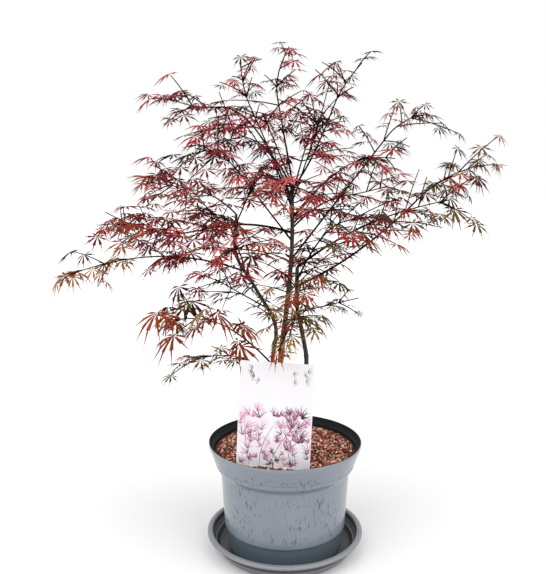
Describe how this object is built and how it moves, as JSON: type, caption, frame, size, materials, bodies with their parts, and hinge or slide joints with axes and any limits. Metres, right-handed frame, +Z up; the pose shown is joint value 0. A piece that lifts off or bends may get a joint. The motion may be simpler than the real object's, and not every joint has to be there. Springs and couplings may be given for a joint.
{
  "type": "potted tree",
  "caption": "Young multi-stemmed ornamental tree with finely cut leaves on thin arching boughs, in a round nursery pot that stands in a saucer, with a blank plant card.",
  "frame": {"origin": "on the pot's axis, at the flat underside of the saucer", "axes": "+Z up, +X to the right seen from the front, +Y from the front to the back"},
  "size_m": [0.7902, 0.5155, 0.8762],
  "materials": {
    "saucer": "satin",
    "pot": "satin",
    "soil": "matte",
    "card": "satin",
    "bark": "matte",
    "leaves": "matte"
  },
  "bodies": {
    "root": {"saucer": "saucer", "pot": "pot", "soil": "soil", "plant_card": "card", "main_stem": "bark", "left_stem": "bark", "right_stem": "bark", "bough_crown_tip": "bark", "bough_top_left": "bark", "bough_top_right": "bark", "bough_top_back": "bark", "bough_left_upper": "bark", "bough_left_shoulder": "bark", "bough_left_mid": "bark", "bough_left_broad": "bark", "bough_left_front": "bark", "bough_left_back": "bark", "bough_left_tip": "bark", "bough_low_left": "bark", "bough_low_left_under": "bark", "bough_right_front": "bark", "bough_right_outer": "bark", "bough_right_tip": "bark", "bough_right_top": "bark", "bough_right_shoulder": "bark", "bough_right_mid": "bark", "bough_right_back": "bark", "bough_front_upper": "bark", "bough_back_mid": "bark", "bough_back_upper": "bark", "leaves_crown_tip": "leaves", "leaves_top_left": "leaves", "leaves_top_right": "leaves", "leaves_top_back": "leaves", "leaves_left_upper": "leaves", "leaves_left_shoulder": "leaves", "leaves_left_mid": "leaves", "leaves_left_broad": "leaves", "leaves_left_front": "leaves", "leaves_left_back": "leaves", "leaves_left_tip": "leaves", "leaves_low_left": "leaves", "leaves_low_left_under": "leaves", "leaves_right_low": "leaves", "leaves_right_front": "leaves", "leaves_right_outer": "leaves", "leaves_right_tip": "leaves", "leaves_right_top": "leaves", "leaves_right_shoulder": "leaves", "leaves_right_mid": "leaves", "leaves_right_back": "leaves", "leaves_right_high": "leaves", "leaves_front_upper": "leaves", "leaves_crown_left": "leaves", "leaves_left_inner": "leaves", "leaves_back_mid": "leaves", "leaves_back_upper": "leaves", "leaves_low_back": "leaves", "leaves_low_left_back": "leaves", "leaves_low_front": "leaves"}
  },
  "joints": []
}
